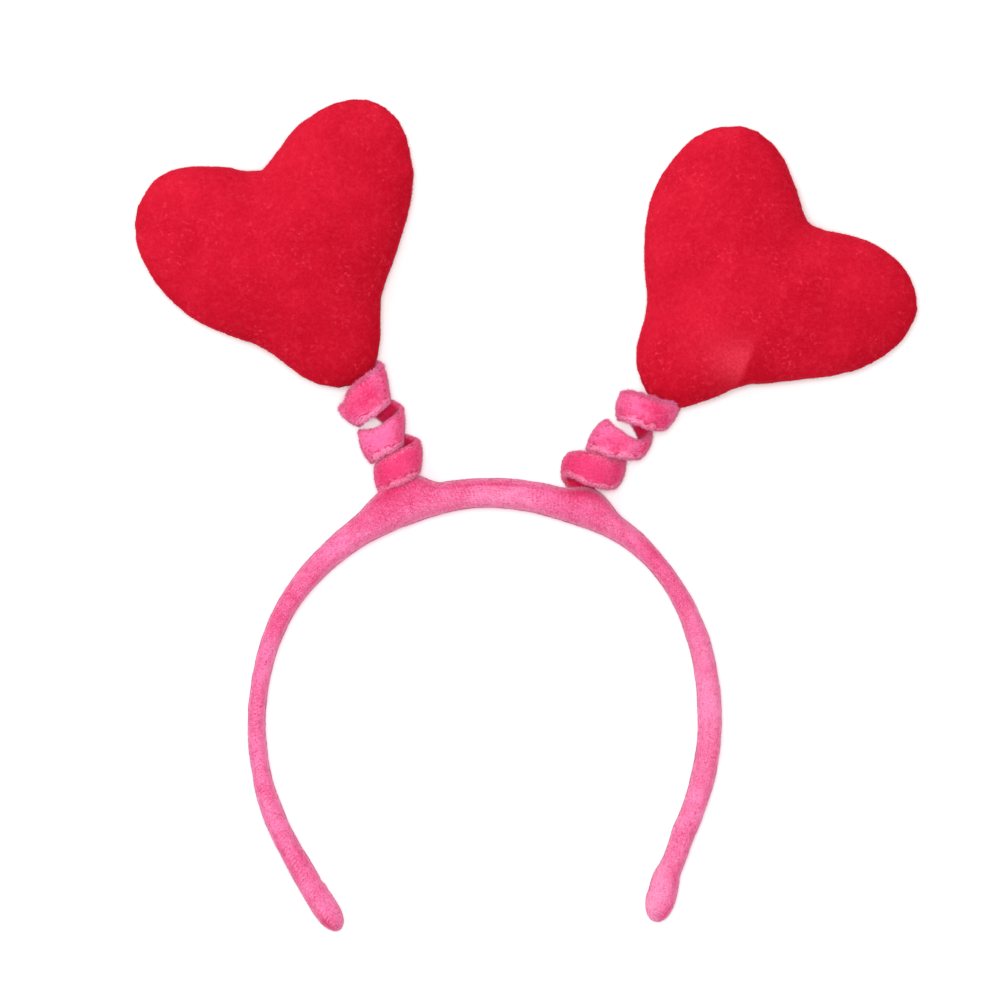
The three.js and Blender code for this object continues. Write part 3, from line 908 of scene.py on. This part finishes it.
def ribbon_marks(finish, shade, weave):
    """Low turns painted deeper as shade, edges painted paler as frosted pile and painted sheen, the ragged
    hem with its fold, and dark specks, painted denser as shade on faces turned sideways.
    """
    place = finish.place()
    fibres = weave["fibres"]
    # Painted shade on the coil's low turns
    shade = finish.blend(finish.times(finish.attribute("shaded_low_turn"), 0.85), shade, RIBBON_VELOUR["deep"])
    # Edges painted paler: partly the frosted pile, partly painted sheen where the ribbon turns away from the
    # light
    edge = finish.spread(finish.attribute("edge"), 0.0, 0.7, 0.12, 0.65)
    shade = finish.blend(finish.times(finish.spread(fibres, 0.46, 0.62), edge), shade, FROST)
    wander = finish.spread(finish.noise(place, 3.0, 2.0), 0.3, 0.7, -0.9, 0.9)
    rise = finish.math("ADD", finish.attribute("rise"), wander)
    ragged = finish.spread(fibres, 0.4, 0.58, 0.25, 1.0)
    hem = finish.times(finish.spread(rise, 1.2, 2.4, 0.7, 0.0), ragged)
    shade = finish.blend(hem, shade, FROST)
    off_fold = finish.math("ABSOLUTE", finish.math("SUBTRACT", rise, RIBBON_FOLD["rise"]), 0.0)
    broken = finish.spread(finish.noise(place, 2.2, 1.0), 0.45, 0.56)
    fold = finish.times(finish.spread(off_fold, 0.12, 0.4, 0.8, 0.0), broken)
    shade = finish.blend(fold, shade, DARK)
    # Dark specks of the weave, painted denser on faces turned sideways, which adds painted shade there
    turned_away = finish.spread(finish.attribute("rim"), 0.03, 0.35, 0.22, 0.8)
    specks = finish.times(finish.spread(weave["rows"], 0.56, 0.64), turned_away)
    return finish.blend(specks, shade, DARK)


def band_marks(finish, shade, weave):
    """Frosted fibres, deeper and paler places with painted shadow and shade among them, dark specks, and the
    ribs and lines of the weave.
    """
    fibres = weave["fibres"]
    shade = finish.blend(finish.spread(fibres, 0.48, 0.62, 0.0, 0.5), shade, FROST)
    tone_and_shade = finish.attribute("tone_and_shade")
    # Deeper places, with the painted shadow under the springs and the painted shade in the crown's crease
    # among them
    shade = finish.blend(finish.spread(tone_and_shade, -1.0, 0.0, 0.9, 0.0), shade, ROSE_AND_SHADE)
    shade = finish.blend(finish.spread(tone_and_shade, 0.0, 1.0, 0.0, 0.5), shade, FROST)
    fewer = finish.spread(tone_and_shade, 0.0, 0.8, 1.0, 0.3)
    sparse = finish.times(finish.spread(weave["knit"], 0.4, 0.6, 0.3, 0.9), fewer)
    specks = finish.spread(finish.noise(finish.place(), 0.4, 0.0), 0.61, 0.69)
    shade = finish.blend(finish.times(specks, sparse), shade, DARK)
    # Dark specks where the tone is deepest, which paint the shadow under the springs
    deepest = finish.spread(tone_and_shade, -0.9, -0.2, 0.6, 0.0)
    deep_specks_and_shadow = finish.times(finish.spread(fibres, 0.38, 0.5, 1.0, 0.0), deepest)
    shade = finish.blend(deep_specks_and_shadow, shade, DARK)
    slant = finish.times(finish.attribute("rise"), RIB_SLANT)
    slanted = finish.math("ADD", finish.attribute("along"), slant)
    wave = finish.math("SINE", finish.times(slanted, 2 * math.pi / RIB_PITCH), 0.0)
    faint = finish.times(finish.attribute("lined"), 0.5)
    strong = finish.math("ADD", finish.attribute("ribbed"), faint)
    ribs = finish.times(finish.spread(wave, 0.2, 1.0), strong)
    broken = finish.times(ribs, finish.spread(weave["rows"], 0.43, 0.57, 0.1, 0.75))
    shade = finish.blend(broken, shade, FROST)
    lines = finish.spread(finish.noise(finish.lengthwise(12.0), 0.5, 1.0), 0.52, 0.64, 0.0, 0.35)
    return finish.blend(finish.times(lines, finish.attribute("lined")), shade, BAND_VELOUR["deep"])


def red_plush():
    """Short brushed plush, with loose pale specks in clusters and the mark that a hand has left, with painted
    shade in the tip and on the side away from the light, and painted sheen on faces turned sideways.
    """
    finish = Finish("red_plush")
    place = finish.place()
    fibres = finish.noise(place, 0.35, 2.0)
    mottle = finish.noise(place, 0.8, 2.0)
    specks = finish.noise(place, 1.1, 1.0)
    tufts = finish.noise(place, 1.8, 2.0)
    clusters = finish.noise(place, 8.0, 2.0)
    deep = (0.400, 0.0030, 0.0135, 1)
    fair = (0.540, 0.0074, 0.0260, 1)
    frost = (0.70, 0.038, 0.074, 1)
    # Brush patches, and on the hearts the painted shade in the tip and on the side away from the light
    shade = finish.blend(finish.attribute("brush_and_shade"), deep, fair)
    shade = finish.blend(finish.spread(tufts, 0.50, 0.75, 0.0, 0.16), shade, frost)
    shade = finish.blend(finish.spread(mottle, 0.50, 0.78, 0.0, 0.13), shade, frost)
    shade = finish.blend(finish.spread(mottle, 0.24, 0.46, 0.6, 0.0), shade, deep)
    loose = finish.times(finish.spread(specks, 0.58, 0.72, 0.0, 0.5), finish.spread(clusters, 0.48, 0.66))
    shade = finish.blend(loose, shade, frost)
    shade = finish.blend(finish.spread(finish.attribute("brush_and_shade"), 0.45, 1.0, 0.0, 0.07), shade, frost)
    shade = finish.blend(finish.spread(fibres, 0.45, 0.80, 0.0, 0.07), shade, frost)
    worn = finish.times(finish.attribute("pale"), finish.spread(mottle, 0.3, 0.65, 0.45, 0.85))
    shade = finish.blend(worn, shade, frost)
    # Painted sheen: faces turned sideways are painted paler
    shade = finish.blend(finish.spread(finish.attribute("rim"), 0.4, 1.0, 0.0, 0.5), shade, frost)
    shade = finish.blend(finish.times(finish.attribute("tip"), 0.06), shade, frost)
    height = finish.math("ADD", fibres, tufts)
    return finish.done(shade, height, 0.03, 0.10, (1.0, 0.12, 0.2, 1))


def paint_rim(mesh):
    """How far each place faces sideways, 0 to 1, where the pile is seen edge-on and is painted paler as
    painted sheen, and where the ribbons' dark specks are painted denser as painted shade.
    """
    paint(mesh, "rim", 1 - np.abs(normals_of(mesh)[:, 2]))


def dress(piece, material, replaced=None):
    """Gives a piece its material and its place in the frame."""
    piece.data.materials.clear()
    piece.data.materials.append(material)
    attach(piece, "root")
    if replaced is not None:
        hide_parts(replaced)


band_velour = pink_velour("band_velour", BAND_VELOUR, band_marks)
ribbon_velour = pink_velour("ribbon_velour", RIBBON_VELOUR, ribbon_marks)
plush = red_plush()

band = band_skin("velour_band", BAND_STEPS, BAND_SIDES)
paint(band.data, "brush_and_shade", brush_marks(points_of(band.data), 3.0))
paint_rim(band.data)
dress(band, band_velour, replaced="band")
for seed, part in enumerate(("pile", "fringe"), start=11):
    fibres = pile("band_" + part, band, seed, **PILES["band_" + part])
    dress(fibres, band_velour)

hearts = {}
for seed, name in enumerate(HEARTS, start=21):
    heart = stuffed_heart(name)
    points = points_of(heart.data)
    # Brush patches with painted shade: darker in the tip and on the side away from the light, paler on the
    # side facing it
    patches = 0.5 + PATCHED * (brush_marks(points, float(seed)) - 0.5)
    brush_and_shade = patches * (1 - TIP_SHADE_PAINTED * tip_shade(points, HEARTS[name]))
    paint(heart.data, "brush_and_shade", np.clip(brush_and_shade - SIDE_SHADE_PAINTED * shade_away_from_light(heart.data), 0, 1))
    paint(heart.data, "pale", hand_mark(points))
    paint_rim(heart.data)
    dress(heart, plush, replaced=name)
    dress(pile(name + "_pile", heart, seed, **PILES["heart_pile"]), plush)
    hearts[name] = heart

band_space = band_skin("band_space", BAND_SPACE_STEPS, BAND_SPACE_SIDES, grow=RIBBON_CLEARANCE)
for seed, (side, rows) in enumerate(SPRINGS.items(), start=31):
    ribbon = ribbon_skin("velour_" + side, rows)
    heart_space = grown_copy(hearts[side.replace("spring", "heart")], RIBBON_CLEARANCE)
    cut_clear(ribbon, [band_space, heart_space])
    bpy.data.objects.remove(heart_space)
    paint(ribbon.data, "brush_and_shade", brush_marks(points_of(ribbon.data), float(seed)))
    paint_rim(ribbon.data)
    dress(ribbon, ribbon_velour, replaced=side)
    for later, part in ((0, "pile"), (10, "fringe"), (20, "top_fringe")):
        fibres = pile(side + "_" + part, ribbon, seed + later, **PILES["spring_" + part])
        dress(fibres, ribbon_velour)
bpy.data.objects.remove(band_space)


# Floor, light and camera

FLOOR_SIZE = 4.0
CAMERA_AIM = (-0.00763, 0.00472)
CAMERA_HEIGHT = 2.4
PHOTO_WIDTH = 0.296
SENSOR = 36.0
PHOTO_PLANE = 0.008
ROOM_BRIGHTNESS = 0.68
SOFTBOXES = [
    dict(name="softbox_above", place=(-0.03, 0.06, 1.9), size=0.4, power=23.4),
    dict(name="softbox_upper_left", place=(-0.9, 0.8, 1.1), size=1.8, power=9.1),
]

bm = bmesh.new()
bmesh.ops.create_grid(bm, x_segments=1, y_segments=1, size=FLOOR_SIZE / 2)
floor_mesh = bpy.data.meshes.new("floor")
bm.to_mesh(floor_mesh)
bm.free()
floor = bpy.data.objects.new("floor", floor_mesh)
bpy.context.scene.collection.objects.link(floor)
paper = bpy.data.materials.new("white_paper")
paper.use_nodes = True
paper_shader = paper.node_tree.nodes["Principled BSDF"]
paper_shader.inputs["Base Color"].default_value = (0.95, 0.95, 0.95, 1)
paper_shader.inputs["Roughness"].default_value = 0.9
paper_shader.inputs["Specular IOR Level"].default_value = 0.1
floor_mesh.materials.append(paper)

world = bpy.data.worlds.new("studio")
world.use_nodes = True
room_light = world.node_tree.nodes["Background"]
room_light.inputs["Color"].default_value = (1, 1, 1, 1)
room_light.inputs["Strength"].default_value = ROOM_BRIGHTNESS
bpy.context.scene.world = world


def softbox(name, place, size, power):
    light = bpy.data.lights.new(name, "AREA")
    light.shape = "SQUARE"
    light.size = size
    light.energy = power
    lamp = bpy.data.objects.new(name, light)
    lamp.location = place
    lamp.rotation_euler = (-Vector(place)).to_track_quat("-Z", "Y").to_euler()
    lamp.visible_camera = False
    bpy.context.scene.collection.objects.link(lamp)


for box in SOFTBOXES:
    softbox(**box)

camera_data = bpy.data.cameras.new("camera")
camera_data.sensor_width = SENSOR
camera_data.lens = SENSOR * (CAMERA_HEIGHT - PHOTO_PLANE) / PHOTO_WIDTH
camera = bpy.data.objects.new("camera", camera_data)
camera.location = (*CAMERA_AIM, CAMERA_HEIGHT)
bpy.context.scene.collection.objects.link(camera)
bpy.context.scene.camera = camera
bpy.context.scene.view_settings.view_transform = "Standard"
